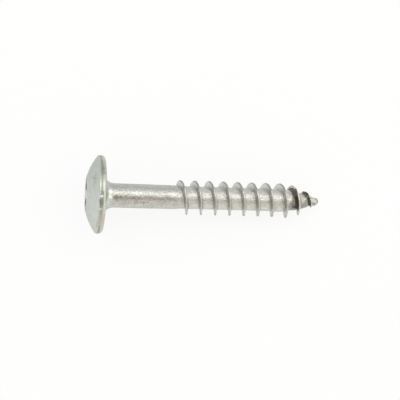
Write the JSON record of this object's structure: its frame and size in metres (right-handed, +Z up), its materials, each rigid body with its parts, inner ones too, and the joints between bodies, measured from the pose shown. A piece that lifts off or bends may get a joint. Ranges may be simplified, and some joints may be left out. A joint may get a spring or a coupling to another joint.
{
  "type": "hinge screw",
  "caption": "Right-hand wood screw with a low domed truss head, a cross recess, a smooth shank, a coarse rolled thread and a gimlet point, for fixing hinges.",
  "frame": {"origin": "on the floor under the middle of the lying screw's bounding box", "axes": "+X along the screw from head to point as seen from above, +Z up; the screw's own axis dips 6.42 degrees towards the point, as it rests on rim and thread crest"},
  "size_m": [0.0338, 0.0108, 0.0108],
  "materials": {
    "zinc_steel": "bright zinc plate over rolled steel, lightly mottled, with dark stains near the point"
  },
  "bodies": {
    "root": {"screw": "zinc_steel"}
  },
  "joints": []
}
